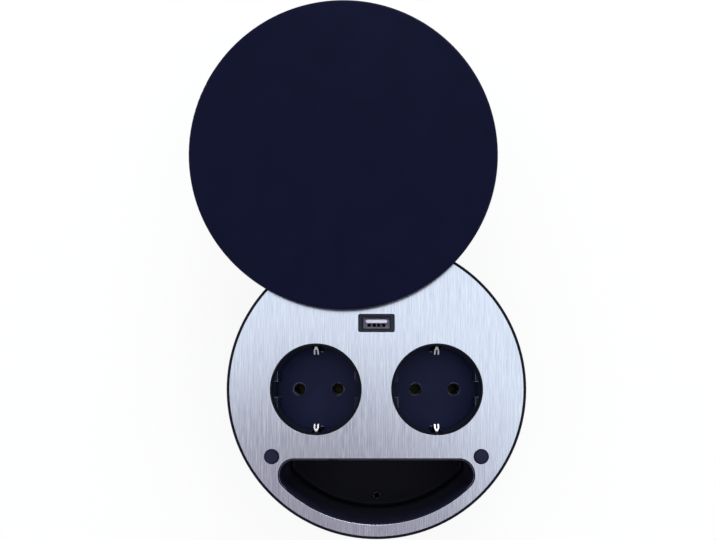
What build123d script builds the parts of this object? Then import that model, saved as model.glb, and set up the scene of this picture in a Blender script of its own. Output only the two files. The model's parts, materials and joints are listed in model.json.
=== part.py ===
from build123d import *
import os
from math import asin, cos, hypot, radians, sin, sqrt

# Flush desk power unit: two earthed sockets, a USB port and a cable tray under a swivel lid.
# Millimetres. Z 0 is the worktop's surface, the origin is the centre of its cut-out, and +Y
# points to the lid's pivot. The lid is swung open, as it is used.

# Clearances
seat_gap = 0.1        # between fixed pieces that drop into one another
running_gap = 0.05    # radial, between a shaft and its bush or a screw and its arm
moving_gap = 0.3      # between pieces that pass each other
thread_gap = 0.05     # radial, between a screw's core and its hole

# Collar and steel plate
worktop_overlap = 4.5   # reach of the collar past the cut-out
collar_height = 3.0
collar_edge = 0.6
ring_width = 1.3      # black ring left in sight around the plate
plate_thickness = 1.0

# Shell below the worktop
spigot_radius = 66.5
skirt_wall = 2.0
skirt_depth = 8.0
housing_depth = 58.0
housing_wall = 1.6
housing_step = 0.6    # the shell stands this far back from the skirt
housing_edge = 0.8
lip_height = 3.0
lip_wall = 1.5
lip_span = 40.0       # degrees
lip_start = 30.0      # degrees from +X
notch_wall_distance = 41.0   # outer face of the flat wall that carries the gland

# Lid
lid_overhang = 1.0    # past the collar
lid_thickness = 5.5
lid_skin = 1.8
lid_wall = 2.0
lid_plate_thickness = 1.2
lid_edge = 1.2
lid_lower_edge = 0.3
lid_rib = 1.2
lid_rib_count = 12
lid_ring_rib_radius = 40.0
lid_boss_radius = 3.0
lid_boss_inset = 8.0         # from the rim's inner face
lid_boss_angles = (-90, -30, 30, 150, 210)
lid_open_angle = 163.95      # swing from closed to where the photo shows it

# Pivot
shaft_radius = 5.0
shaft_flange_radius = 11.0
shaft_flat = 3.5
shaft_screw_distance = 8.0
bush_wall = 1.45
bush_flange_width = 1.5
bush_flange_height = 2.2
boss_wall = 2.0
boss_depth = 10.0
boss_room = 0.3       # between the boss and the skirt
stop_thickness = 2.0
stop_hub_radius = 7.5
stop_reach = 13.0
stop_width = 4.0
stop_post_radius = 1.75
stop_post_distance = 11.5
spring_outer = 4.6
spring_rise = 1.4
spring_thickness = 0.3
pivot_screw_radius = 2.0
pivot_screw_head = 4.0
pivot_screw_length = 9.0

# Socket wells, from the 19 mm spacing of the two pins
pin_pitch = 19.0
well_shift = 0.2      # from midway between the centre line and the clamp's pocket
pin_hole_radius = 2.6
pin_mouth_radius = 3.1
well_radius = 20.6
well_draft = 0.5
well_depth = 17.5
rim_width = 1.05
rim_edge = 0.25
cup_wall = 1.4
floor_thickness = 2.5
flange_reach = 2.35
flange_thickness = 2.0
ledge_chord = 18.4
ledge_drop = 2.2
well_step = 0.35      # ring that runs round the wall, level with the ledges
ledge_slot = 7.4
tower_width = 10.0
tower_length = 12.0
tower_wall = 1.5
tower_depth = 18.0
ear_radius = 3.2
ear_depth = 5.0
ear_thickness = 2.0
pillar_radius = 2.6
pillar_distance = 14.2
pillar_bore = 12.0

# Earth clips
clip_thickness = 0.7
clip_width = 4.6
clip_tip_width = 3.1
clip_slot = 1.1
clip_pinch = 16.2
clip_pinch_drop = 4.6
clip_tip_drop = 1.5
clip_end = 0.7        # drop from the tip to the end of the slit
clip_knee_drop = 13.0
clip_bend = 1.2
clip_room = 0.3
link_width = 5.0
link_thickness = 0.8
link_offset = 12.0

# Live contacts and their cover
bar_width = 6.0
bar_offset = 8.0
bar_thickness = 1.0
bar_corner = 0.8
tab_width = 5.0
wire_tab_offset = 8.0
sleeve_bore = 2.3
sleeve_wall = 0.7
sleeve_height = 14.0
sleeve_slit = 0.8
sleeve_root = 2.0
cover_thickness = 2.5
cover_margin = 3.2
cover_corner = 4.0
cover_window_width = 24.0
cover_window_length = 8.0

# Cable tray
tray_room = 0.4       # between the tray and the skirt
tray_top_distance = 32.6
tray_corner_radius = 7.4
tray_rim = 0.8
tray_wall = 1.5
tray_depth = 42.0
tray_draft = 1.0      # degrees
tray_floor_fillet = 2.0
tray_flange_width = 1.2
tray_flange_thickness = 1.2
tray_screw_inset = 7.3
tray_screw_head = 2.3
tray_screw_height = 1.5
tray_screw_length = 9.0

# USB port and its supply
usb_distance = 31.4
bezel_width = 17.1
bezel_height = 8.4
bezel_corner = 0.8
bezel_edge = 0.2
bezel_flange = 1.0
usb_opening_width = 12.5
usb_opening_height = 5.12
usb_corner = 0.3
usb_shell_wall = 0.35
usb_shell_drop = 0.8
tongue_width = 11.1
tongue_thickness = 1.84
tongue_offset = 0.95
tongue_drop = 1.8
tongue_foot = 3.0
contact_width = 1.0
contact_thickness = 0.3
contact_setback = 0.6
contact_places = (-3.5, -1.0, 1.0, 3.5)
board_width = 34.0
board_length = 22.0
board_thickness = 1.6
board_depth = 14.0
board_centre = 31.8
board_screw_x = 13.5
board_screw_y = 7.75
transformer_width = 16.0
transformer_length = 12.0
transformer_height = 11.0
transformer_edge = 0.5
core_width = 9.0
core_proud = 1.5
capacitor_radius = 3.6
capacitor_height = 12.0
capacitor_edge = 0.6
capacitor_x = 12.5

# Rest pads
pad_radius = 3.5
pad_gap = 2.34        # from the tray's mouth
pad_bearing = 38.2    # degrees, seen from the middle of the tray's corner
pad_edge = 0.5

# Worktop clamps
clamp_inset = 5.0
clamp_screw_radius = 2.0
clamp_head_radius = 3.8
clamp_head_height = 2.2
clamp_slot_width = 1.0
clamp_slot_depth = 1.0
clamp_hub_radius = 4.0
clamp_reach = 15.0
clamp_thickness = 5.6
clamp_height = 10.0
clamp_tip_height = 5.0
clamp_rest = 0.5
clamp_top_boss = 4.2
clamp_top_hole = 6.0
pocket_room = 0.9
pocket_floor = 5.0

# Mains entry
block_width = 30.0
block_length = 12.0
block_height = 12.0
block_centre = 17.0
block_pitch = 8.0
block_edge = 1.0
block_hole_radius = 1.9
block_hole_depth = 5.0
gland_thread_radius = 8.0
gland_hex = 19.0
gland_bore = 5.0
gland_seal_bore = 4.4
gland_seal_radius = 6.7
gland_length = 16.0
gland_hex_length = 4.0
gland_nut_length = 4.0
gland_thread_spare = 2.0
gland_neck_radius = 7.7
gland_step = 2.0
gland_nose = 6.0
gland_shoulder = 3.8
gland_lip = 1.5
gland_corner = 1.2
wire_radius = 1.1
lead_radius = 0.9
lead_inset = 2.0
wire_bend = 5.0

# Screws
screw_radius = 1.2
screw_head = 2.2
screw_head_height = 1.6
head_slope = 0.3      # share of a head's height that is chamfered
column_radius = 4.2
post_radius = 3.6
column_screw_radius = 1.5
column_screw_head = 2.8
column_screw_height = 2.2
column_grip = 10.4    # plastic under the screw's head
column_screw_length = 17.0
column_room = 0.8     # between the board and the rear columns
front_column_y = -26.0
rear_column_y = 33.5

# What follows from the sizes above
seat_z = collar_height - plate_thickness
collar_radius = spigot_radius + worktop_overlap
plate_radius = collar_radius - ring_width - seat_gap
skirt_inner = spigot_radius - skirt_wall
housing_radius = spigot_radius - housing_step
housing_inner = housing_radius - housing_wall
housing_low = -housing_depth
housing_floor = housing_low + housing_wall

bush_top = seat_z + bush_flange_height
bush_radius = shaft_radius + running_gap + bush_wall
bush_flange_radius = bush_radius + bush_flange_width
boss_radius = bush_radius + boss_wall
pivot_distance = skirt_inner - boss_room - boss_radius
pivot = (0, pivot_distance)
lid_radius = collar_radius + lid_overhang
lid_boss_distance = lid_radius - lid_wall - lid_boss_inset
lid_low = bush_top + moving_gap
lid_top = lid_low + lid_thickness
lid_plate_top = lid_low + lid_plate_thickness
lid_skin_low = lid_top - lid_skin
shaft_low = -boss_depth - moving_gap - stop_thickness

clamp_distance = spigot_radius - clamp_inset
pocket_inner = clamp_distance - clamp_hub_radius - pocket_room
pocket_near = -clamp_hub_radius - pocket_room
pocket_far = hypot(clamp_reach, clamp_thickness / 2) + pocket_room
pocket_low = housing_low + pocket_floor
pocket_top = -skirt_depth - housing_wall

rim_radius = well_radius + rim_width
cup_radius = well_radius + cup_wall
flange_radius = rim_radius + flange_reach
well_room = pocket_inner - housing_wall - cup_radius
socket_pitch = flange_radius + well_room + 2 * well_shift
well_floor_radius = well_radius - well_draft
floor_z = collar_height - well_depth
floor_low = floor_z - floor_thickness
tower_low = floor_low - tower_depth
bar_low = tower_low - bar_thickness
cover_low = bar_low - cover_thickness
ear_distance = flange_radius + ear_radius + seat_gap
ear_low = -ear_depth - ear_thickness
cover_screw_length = cover_thickness + pillar_bore - moving_gap

clip_post = well_floor_radius - clip_thickness / 2
clip_tip = well_radius - clip_thickness / 2
board_low = -board_depth - board_thickness

block_top = housing_floor + block_height
block_hole_z = housing_floor + block_height / 2
gland_z = housing_floor + gland_hex / 2 + moving_gap
notch_roof = gland_z + gland_hex / 2 + gland_step
tray_low = collar_height - tray_depth - tray_wall
tray_wall_outside = tray_wall - tray_rim
tray_arc_radius = skirt_inner - tray_room - tray_wall_outside
tray_screw_distance = tray_arc_radius - tray_screw_inset
tray_corner_y = -tray_top_distance - tray_corner_radius
tray_corner_x = sqrt((tray_arc_radius - tray_corner_radius) ** 2 - tray_corner_y ** 2)
pad_standoff = tray_corner_radius + pad_gap + pad_radius
pad_x = tray_corner_x + pad_standoff * cos(radians(pad_bearing))
pad_y = tray_corner_y + pad_standoff * sin(radians(pad_bearing))

rear_column_x = board_width / 2 + column_room + column_radius
columns = [(0, front_column_y), (-rear_column_x, rear_column_y), (rear_column_x, rear_column_y)]
column_screw_z = pocket_top - column_grip
board_screw_places = [
    (x, board_centre + y) for x in (-board_screw_x, board_screw_x) for y in (-board_screw_y, board_screw_y)
]


def disc(radius, low, high, place=(0, 0)):
    return Pos(place[0], place[1], (low + high) / 2) * Cylinder(radius, high - low)


def around(middle, half):
    return middle - half, middle + half


def span(a, b):
    return min(a, b), max(a, b)


def tube(radius, bore, low, high, place=(0, 0)):
    return disc(radius, low, high, place) - disc(bore, low, high, place)


def block(x, y, z):
    middle = Pos((x[0] + x[1]) / 2, (y[0] + y[1]) / 2, (z[0] + z[1]) / 2)
    return middle * Box(x[1] - x[0], y[1] - y[0], z[1] - z[0])


def slab(outline, low, high):
    return extrude(Pos(0, 0, low) * outline, high - low)


def turned(points, arc=360):
    return revolve(make_face(Plane.XZ * Polyline(*points, close=True)), Axis.Z, arc)


def screw(place, head_low, head_radius, head_height, radius, length):
    """Pan-head screw that points up, its head at head_low."""
    head = disc(head_radius, head_low, head_low + head_height, place)
    head = chamfer(head.edges().filter_by(GeomType.CIRCLE).group_by(Axis.Z)[0], head_height * head_slope)
    return head + disc(radius, head_low + head_height, head_low + head_height + length, place)


def tray_outline(grow):
    """The smile: the collar's own arc below, a straight edge above, and round corners."""
    radius = tray_arc_radius + grow
    top = -tray_top_distance + grow
    low_half = Pos(0, top - radius) * Rectangle(2 * radius, 2 * radius)
    smile = Circle(radius) & low_half
    return fillet(smile.vertices(), tray_corner_radius + grow)


def usb_outline(width, height, corner):
    return Pos(0, usb_distance) * RectangleRounded(width, height, corner)


def bezel_outline(grow):
    return usb_outline(bezel_width + 2 * grow, bezel_height + 2 * grow, bezel_corner + grow)


def shell_outline(grow):
    """The mouth of the USB shell, grown outward."""
    return usb_outline(usb_opening_width + 2 * grow, usb_opening_height + 2 * grow, usb_corner + grow)


def collar_frame():
    seat_radius = collar_radius - ring_width
    collar = turned([
        (0, 0), (skirt_inner, 0), (skirt_inner, -skirt_depth), (spigot_radius, -skirt_depth),
        (spigot_radius, 0), (collar_radius, 0), (collar_radius, collar_height),
        (seat_radius, collar_height), (seat_radius, seat_z), (0, seat_z),
    ])
    rim = collar.edges().filter_by(GeomType.CIRCLE).filter_by(lambda e: e.radius > collar_radius - 0.01)
    collar = fillet(rim.group_by(Axis.Z)[-1], collar_edge)

    collar += disc(boss_radius, -boss_depth, 0, pivot)
    for place in stop_posts():
        collar += disc(stop_post_radius, shaft_low - moving_gap, 0, place)
    for place in columns:
        collar += disc(post_radius, pocket_top, 0, place)
    for place in ear_places():
        collar += disc(ear_radius, -ear_depth, 0, place)
    for place in board_screw_places:
        collar += disc(pillar_radius, -board_depth, 0, place)
    for side in (-1, 1):
        collar += disc(clamp_top_boss, -skirt_depth, 0, (side * clamp_distance, 0))

    for side in (-1, 1):
        collar -= disc(rim_radius + seat_gap, 0, seat_z, (side * socket_pitch / 2, 0))
        collar -= disc(pad_radius + seat_gap, seat_z - tray_flange_thickness, seat_z, (side * pad_x, pad_y))
        hole = clamp_screw_radius + running_gap
        collar -= disc(hole, -skirt_depth, clamp_top_hole - skirt_depth, (side * clamp_distance, 0))
    flange_low = seat_z - tray_flange_thickness
    collar -= slab(tray_outline(tray_wall_outside), 0, seat_z)
    collar -= slab(tray_outline(tray_wall_outside + tray_flange_width), flange_low, seat_z)
    collar -= slab(bezel_outline(seat_gap), 0, seat_z)
    collar -= slab(bezel_outline(seat_gap + bezel_flange), flange_low, seat_z)
    collar -= disc(bush_radius, -boss_depth, seat_z, pivot)
    for place in columns:
        collar -= disc(column_screw_radius + thread_gap, pocket_top, 0, place)
    for place in ear_places():
        collar -= disc(screw_radius + thread_gap, -ear_depth, 0, place)
    for place in board_screw_places:
        collar -= disc(screw_radius + thread_gap, -board_depth, -board_depth / 2, place)
    return collar


def stop_posts():
    side = (stop_width / 2 + stop_post_radius + moving_gap) / stop_post_distance
    angle = asin(side)
    across = stop_post_distance * cos(angle)
    along = pivot_distance + stop_post_distance * sin(angle)
    return [(-across, along), (across, along)]


def ear_places():
    return [(side * socket_pitch / 2, end * ear_distance) for side in (-1, 1) for end in (-1, 1)]


def face_plate():
    outline = Circle(plate_radius)
    for side in (-1, 1):
        outline -= Pos(side * socket_pitch / 2, 0) * Circle(rim_radius + seat_gap)
        outline -= Pos(side * pad_x, pad_y) * Circle(pad_radius + seat_gap)
    outline -= tray_outline(0)
    outline -= bezel_outline(seat_gap)
    outline -= Pos(*pivot) * Circle(bush_flange_radius + moving_gap)
    return slab(outline, seat_z, collar_height)


def clamp_pocket(grow):
    """Room for one clamp on the +X side, grown by the wall around it."""
    return block(
        (pocket_inner - grow, spigot_radius + 5), (pocket_near - grow, pocket_far + grow),
        (pocket_low - grow, pocket_top + grow),
    )


def lower_housing():
    shell = disc(housing_radius, housing_low, -skirt_depth)
    shell = fillet(shell.edges().filter_by(GeomType.CIRCLE).group_by(Axis.Z)[0], housing_edge)
    inside = disc(housing_inner, housing_floor, -skirt_depth)
    far = 2 * spigot_radius
    inner_wall = notch_wall_distance - housing_wall
    inside -= block((-far, far), (inner_wall, far), (housing_low, notch_roof + housing_wall))
    for turn in (0, 180):
        inside -= Rot(0, 0, turn) * clamp_pocket(housing_wall)
        inside -= Rot(0, 0, turn) * block(
            (pocket_inner - housing_wall, far), (pocket_near - housing_wall, pocket_far + housing_wall),
            (housing_low, pocket_low),
        )
        shell -= Rot(0, 0, turn) * clamp_pocket(0)
    shell -= block((-far, far), (notch_wall_distance, far), (housing_low, notch_roof))
    shell -= inside

    lip_outer = skirt_inner - seat_gap
    lip = turned([
        (lip_outer, -skirt_depth + lip_height), (lip_outer - lip_wall, -skirt_depth + lip_height),
        (lip_outer - lip_wall, pocket_top), (housing_inner, pocket_top - lip_wall),
        (housing_inner, -skirt_depth), (lip_outer, -skirt_depth),
    ], lip_span)
    for start in (lip_start, 180 - lip_start - lip_span):
        shell += Rot(0, 0, start) * lip

    for place in columns:
        shell += disc(column_radius, housing_floor, pocket_top, place)
        shell -= disc(column_screw_head + seat_gap, housing_low, column_screw_z, place)
        shell -= disc(column_screw_radius + seat_gap, column_screw_z, pocket_top, place)
    tray_column = (0, -tray_screw_distance)
    shell += disc(column_radius, housing_floor, tray_low, tray_column)
    shell -= disc(column_screw_radius + thread_gap, housing_floor, tray_low, tray_column)

    for side in (-1, 1):
        place = (side * clamp_distance, 0)
        shell -= disc(clamp_head_radius + moving_gap, housing_low, clamp_shoulder(), place)
        shell -= disc(clamp_screw_radius + running_gap, clamp_shoulder(), pocket_low, place)
        shell -= disc(clamp_screw_radius + running_gap, pocket_top, -skirt_depth, place)
    hole = Pos(0, notch_wall_distance, gland_z) * Rot(90, 0, 0) * Cylinder(
        gland_thread_radius + seat_gap, 4 * housing_wall)
    return shell - hole


def clamp_shoulder():
    return housing_low + clamp_head_height + 2 * moving_gap


def cable_tray():
    flange_low = seat_z - tray_flange_thickness
    rim = slab(tray_outline(-seat_gap), flange_low, collar_height)
    flange = slab(tray_outline(tray_wall_outside + tray_flange_width - seat_gap), flange_low, seat_z)
    bowl = extrude(Pos(0, 0, flange_low) * tray_outline(tray_wall_outside - seat_gap),
                   tray_low - flange_low, taper=tray_draft)
    bowl = fillet(bowl.edges().group_by(Axis.Z)[0], tray_floor_fillet + tray_wall)
    hollow = extrude(Pos(0, 0, collar_height) * tray_outline(-tray_rim), -tray_depth, taper=tray_draft)
    hollow = fillet(hollow.edges().group_by(Axis.Z)[0], tray_floor_fillet)
    place = (0, -tray_screw_distance)
    hole = disc(column_screw_radius + seat_gap, tray_low, collar_height - tray_depth, place)
    return rim + flange + bowl - hollow - hole


def tray_screw():
    """Points down, so it is made upside down and turned over."""
    low = tray_depth - collar_height - tray_screw_height
    pan = screw((0, tray_screw_distance), low, tray_screw_head, tray_screw_height, column_screw_radius,
                tray_screw_length)
    return Rot(180, 0, 0) * pan


def socket_insert():
    """The right-hand well, about its own centre."""
    ledge_top = collar_height - ledge_drop
    cup = turned([
        (0, floor_low), (cup_radius, floor_low), (cup_radius, -flange_thickness),
        (flange_radius, -flange_thickness), (flange_radius, 0), (rim_radius, 0),
        (rim_radius, collar_height - rim_edge), (rim_radius - rim_edge, collar_height),
        (well_radius + rim_edge, collar_height), (well_radius, collar_height - 2 * rim_edge),
        (well_radius, ledge_top), (well_radius - well_step, ledge_top), (well_floor_radius, floor_z),
        (0, floor_z),
    ])
    ledges = disc(well_radius + cup_wall / 2, floor_z, ledge_top)
    ledges -= block(around(0, ledge_chord), around(0, cup_radius), (floor_z, ledge_top))
    ledges -= block(around(0, cup_radius), around(0, ledge_slot / 2), (floor_z, ledge_top))
    cup += ledges

    for side in (-1, 1):
        x = side * pin_pitch / 2
        cup += block(around(x, tower_width / 2), around(0, tower_length / 2), (tower_low, floor_low))
    for end in (-1, 1):
        y = end * ear_distance
        ear_z = (ear_low, -ear_depth)
        near = end * (well_radius + cup_wall / 2)
        cup += block(around(0, ear_radius), span(near, y), ear_z)
        cup += disc(ear_radius, *ear_z, (0, y))
        cup -= disc(screw_radius + seat_gap, *ear_z, (0, y))
        pillar = (pin_pitch / 2, end * pillar_distance)
        cup += disc(pillar_radius, bar_low, floor_low, pillar)
        cup -= disc(screw_radius + thread_gap, bar_low, bar_low + pillar_bore, pillar)

    mouth = pin_mouth_radius - pin_hole_radius
    for side in (-1, 1):
        x = side * pin_pitch / 2
        inside = around(x, tower_width / 2 - tower_wall)
        cup -= block(inside, around(0, tower_length / 2 - tower_wall), (tower_low, floor_low))
        cup -= disc(pin_hole_radius, floor_low, floor_z, (x, 0))
        cup -= Pos(x, 0, floor_z - mouth / 2) * Cone(pin_hole_radius, pin_mouth_radius, mouth)
    near = clip_post - clip_bend - clip_room
    far = clip_tip + clip_thickness / 2 + clip_room
    slot_top = collar_height - clip_tip_drop + clip_room
    for end in (-1, 1):
        slot = around(0, clip_width / 2 + clip_room)
        cup -= block(slot, span(end * near, end * far), (floor_low, slot_top))
    return cup


def earth_clip():
    """One strip folded into a yoke, with a slotted spring finger at each end of the well."""
    base = floor_low - clip_thickness / 2
    pinch = collar_height - clip_pinch_drop
    knee = collar_height - clip_knee_drop
    tip = collar_height - clip_tip_drop
    half = [(clip_post, base), (clip_post, knee), (clip_pinch, pinch), (clip_tip, tip)]
    route = [(0, -y, z) for y, z in reversed(half)] + [(0, y, z) for y, z in half]
    path = FilletPolyline(*route, radius=clip_bend)
    start = Plane(path @ 0, x_dir=(1, 0, 0), z_dir=path % 0)
    strip = sweep(start * Rectangle(clip_width, clip_thickness), path)

    waist = clip_tip_width / 2
    side = clip_width / 2
    shape = make_face(Plane.XZ * Polyline(
        (-side, base - clip_thickness), (side, base - clip_thickness), (side, knee),
        (waist, pinch), (waist, collar_height), (-waist, collar_height), (-waist, pinch), (-side, knee),
        close=True))
    strip &= extrude(shape, cup_radius, both=True)
    round_end = Pos(0, 0, tip - waist) * Rot(90, 0, 0) * Cylinder(waist, 2 * cup_radius)
    square_end = block(around(0, side), around(0, cup_radius), (tip - waist, collar_height))
    strip -= square_end - round_end
    slit = block(around(0, clip_slot / 2), around(0, cup_radius), (knee + clip_bend, tip - clip_end))
    return strip - slit


def earth_link():
    """Strip that joins the two yokes, with a tab for the earth wire."""
    high = floor_low - clip_thickness
    reach = socket_pitch / 2 + clip_width / 2
    strip = Pos(0, link_offset) * Rectangle(2 * reach, link_width)
    tab = Pos(0, (link_offset - tab_width / 2) / 2) * Rectangle(tab_width, link_offset + tab_width / 2)
    return slab(strip + tab, high - link_thickness, high)


def busbar():
    """Live bar with a slit sleeve under one pin of each well, and a tab for its wire."""
    far_pin = -socket_pitch / 2 - pin_pitch / 2
    near_pin = socket_pitch / 2 - pin_pitch / 2
    length = near_pin - far_pin + tab_width
    outline = Pos((far_pin + near_pin) / 2, bar_offset) * Rectangle(length, bar_width)
    for x in (far_pin, near_pin, wire_tab_offset):
        outline += Pos(x, (bar_offset - tab_width / 2) / 2) * Rectangle(tab_width, bar_offset + tab_width / 2)
    outline = fillet(outline.vertices(), bar_corner)
    bar = slab(outline, bar_low, tower_low)
    for x in (far_pin, near_pin):
        top = tower_low + sleeve_height
        slit = block(around(x, tab_width), around(0, sleeve_slit / 2), (tower_low + sleeve_root, top))
        bar += tube(sleeve_bore + sleeve_wall, sleeve_bore, tower_low, top, (x, 0)) - slit
    return bar


def cover_screw_places():
    x = socket_pitch / 2 + pin_pitch / 2
    return [(side * x, end * pillar_distance) for side in (-1, 1) for end in (-1, 1)]


def contact_cover():
    width = socket_pitch + pin_pitch + 2 * (pillar_radius + cover_margin)
    length = 2 * (pillar_distance + cover_margin)
    outline = RectangleRounded(width, length, cover_corner)
    outline -= Rectangle(cover_window_width, cover_window_length)
    cover = slab(outline, cover_low, bar_low)
    for place in cover_screw_places():
        cover -= disc(screw_radius + seat_gap, cover_low, bar_low, place)
    return cover


def terminal_block():
    near = block_centre - block_length / 2
    far = block_centre + block_length / 2
    body = block(around(0, block_width / 2), (near, far), (housing_floor, block_top))
    body = chamfer(body.edges().filter_by(Axis.X).group_by(Axis.Z)[-1], block_edge)
    entry = Rot(90, 0, 0) * Cylinder(block_hole_radius, block_hole_depth)
    for x, y in terminal_places():
        body -= Pos(x, y, block_hole_z) * entry
        body -= disc(screw_radius + thread_gap, block_hole_z, block_top, (x, y))
        body -= disc(screw_head + seat_gap, block_top - screw_head_height, block_top, (x, y))
    return body


def terminal_places():
    half = (block_length - block_hole_depth) / 2
    return [(x, block_centre + y) for x in (-block_pitch, 0, block_pitch) for y in (-half, half)]


def terminal_screws():
    length = block_height / 2 - screw_head_height - wire_radius - running_gap
    return Compound([
        Rot(180, 0, 0) * screw((x, -y), -block_top, screw_head, screw_head_height, screw_radius, length)
        for x, y in terminal_places()
    ])


def wire(points, radius):
    """Round wire along straight runs joined by tangent arcs."""
    path = FilletPolyline(*points, radius=wire_bend)
    return sweep(Plane(path @ 0, z_dir=path % 0) * Circle(radius), path)


def supply_wire(x, top):
    start = block_centre - block_length / 2 + block_hole_depth
    return wire([(x, start, block_hole_z), (x, 0, block_hole_z), (x, 0, top)], wire_radius)


def usb_lead(x, bar_y):
    turn = (tower_low + board_low) / 2
    end_y = board_centre - board_length / 2 + lead_inset
    points = [(x, bar_y, tower_low), (x, bar_y, turn), (x, end_y, turn), (x, end_y, board_low)]
    return wire(points, lead_radius)


def usb_bezel():
    flange_low = seat_z - tray_flange_thickness
    body = slab(bezel_outline(0), 0, collar_height)
    body = chamfer(body.edges().group_by(Axis.Z)[-1], bezel_edge)
    body += slab(bezel_outline(bezel_flange), flange_low, seat_z)
    return body - slab(shell_outline(usb_shell_wall + seat_gap), 0, collar_height)


def usb_shell():
    outline = shell_outline(usb_shell_wall) - shell_outline(0)
    return slab(outline, -board_depth, collar_height - usb_shell_drop)


def usb_tongue():
    foot = slab(shell_outline(0), -board_depth, tongue_foot - board_depth)
    tongue = Pos(0, usb_distance + tongue_offset) * Rectangle(tongue_width, tongue_thickness)
    return foot + slab(tongue, tongue_foot - board_depth, collar_height - tongue_drop)


def usb_contacts():
    face = usb_distance + tongue_offset - tongue_thickness / 2
    low = tongue_foot - board_depth
    high = collar_height - tongue_drop - contact_setback
    depth = (face - contact_thickness, face)
    return Compound([block(around(x, contact_width / 2), depth, (low, high)) for x in contact_places])


def usb_board():
    outline = Pos(0, board_centre) * RectangleRounded(board_width, board_length, 1.0)
    board = slab(outline, board_low, -board_depth)
    for place in board_screw_places:
        board -= disc(screw_radius + seat_gap, board_low, -board_depth, place)
    return board


def usb_transformer():
    """Coil former under the board, with the ferrite core around its middle."""
    low = board_low - transformer_height
    long = transformer_length / 2
    core = block(around(0, core_width / 2), around(board_centre, long), (low, board_low))
    long -= core_proud
    height = (low + core_proud, board_low)
    former = block(around(0, transformer_width / 2), around(board_centre, long), height)
    return fillet((core + former).edges().filter_by(Axis.Z), transformer_edge)


def usb_capacitors():
    cans = []
    for side in (-1, 1):
        place = (side * capacitor_x, board_centre)
        can = disc(capacitor_radius, board_low - capacitor_height, board_low, place)
        cans.append(fillet(can.edges().filter_by(GeomType.CIRCLE).group_by(Axis.Z)[0], capacitor_edge))
    return Compound(cans)


def screw_set(places, seat, length):
    low = seat - screw_head_height
    return Compound([
        screw(place, low, screw_head, screw_head_height, screw_radius, length) for place in places
    ])


def housing_screws():
    low = column_screw_z - column_screw_height
    return Compound([
        screw(place, low, column_screw_head, column_screw_height, column_screw_radius, column_screw_length)
        for place in columns
    ])


def rest_pad(side):
    top = lid_low - moving_gap
    pad = disc(pad_radius, seat_z - tray_flange_thickness, top, (side * pad_x, pad_y))
    return fillet(pad.edges().filter_by(GeomType.CIRCLE).group_by(Axis.Z)[-1], pad_edge)


def hexagon(across, low, high):
    return slab(RegularPolygon(across / 2, 6, major_radius=False), low, high)


def on_gland_axis(shape):
    """Stand a piece that was made along Z on the flat wall, pointing out of it."""
    return Pos(0, notch_wall_distance, gland_z) * Rot(-90, 0, 0) * shape


def gland_body():
    inside = -housing_wall - gland_nut_length - gland_thread_spare
    high = gland_length - gland_nose
    body = disc(gland_thread_radius, inside, 0) + hexagon(gland_hex, 0, gland_hex_length)
    body += disc(gland_neck_radius, gland_hex_length, high)
    body -= disc(gland_bore, inside, high)
    return on_gland_axis(body - disc(gland_seal_radius + seat_gap, gland_hex_length + gland_step, high))


def gland_locknut():
    nut = hexagon(gland_hex, -housing_wall - gland_nut_length, -housing_wall)
    nut -= disc(gland_thread_radius + thread_gap, -housing_wall - gland_nut_length, -housing_wall)
    return on_gland_axis(nut)


def gland_seal():
    low = gland_hex_length + gland_step
    return on_gland_axis(tube(gland_seal_radius, gland_seal_bore, low, gland_length - gland_shoulder))


def gland_dome_nut():
    low = gland_hex_length + moving_gap
    corner = gland_hex / 2 + gland_corner
    inner = gland_neck_radius + thread_gap
    dome = turned([
        (inner, low), (corner, low), (corner, gland_length - gland_nose),
        (gland_bore + gland_lip, gland_length), (gland_bore, gland_length),
        (gland_bore, gland_length - gland_shoulder), (inner, gland_length - gland_shoulder),
    ])
    return on_gland_axis(dome & hexagon(gland_hex, low, gland_length))


def pivot_bush():
    return turned([
        (shaft_radius + running_gap, -boss_depth), (bush_radius, -boss_depth), (bush_radius, seat_z),
        (bush_flange_radius, seat_z), (bush_flange_radius, bush_top), (shaft_radius + running_gap, bush_top),
    ])


def lid_screw_places():
    outer = [
        (lid_boss_distance * cos(radians(a)), lid_boss_distance * sin(radians(a))) for a in lid_boss_angles
    ]
    inner = [
        (shaft_screw_distance * cos(radians(a)), pivot_distance + shaft_screw_distance * sin(radians(a)))
        for a in (90, 210, 330)
    ]
    return outer, inner


def lid_cover():
    """Moulded disc, closed: a thin skin with a rim, ribs and screw bosses underneath."""
    inner = lid_radius - lid_wall
    cover = turned([
        (0, lid_skin_low), (inner, lid_skin_low), (inner, lid_low), (lid_radius, lid_low),
        (lid_radius, lid_top), (0, lid_top),
    ])
    rims = cover.edges().filter_by(GeomType.CIRCLE).filter_by(lambda e: e.radius > lid_radius - 0.01)
    cover = fillet(rims.group_by(Axis.Z)[-1], lid_edge)
    rims = cover.edges().filter_by(GeomType.CIRCLE).filter_by(lambda e: e.radius > lid_radius - 0.01)
    cover = fillet(rims.group_by(Axis.Z)[0], lid_lower_edge)

    near, far = around(lid_ring_rib_radius, lid_rib / 2)
    ribs = tube(far, near, lid_plate_top, lid_skin_low)
    for number in range(lid_rib_count):
        spoke = block((0, inner + lid_wall / 2), around(0, lid_rib / 2), (lid_plate_top, lid_skin_low))
        ribs += Rot(0, 0, number * 360 / lid_rib_count) * spoke
    pocket = shaft_flange_radius + seat_gap
    ribs += disc(pocket + lid_rib, lid_plate_top, lid_skin_low, pivot)
    ribs &= disc(inner + lid_wall / 2, lid_plate_top, lid_skin_low)
    outer, _ = lid_screw_places()
    for place in outer:
        ribs += disc(lid_boss_radius, lid_plate_top, lid_skin_low, place)
        ribs -= disc(screw_radius + thread_gap, lid_plate_top, lid_skin_low, place)
    return cover + (ribs - disc(pocket, lid_plate_top, lid_skin_low, pivot))


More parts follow.
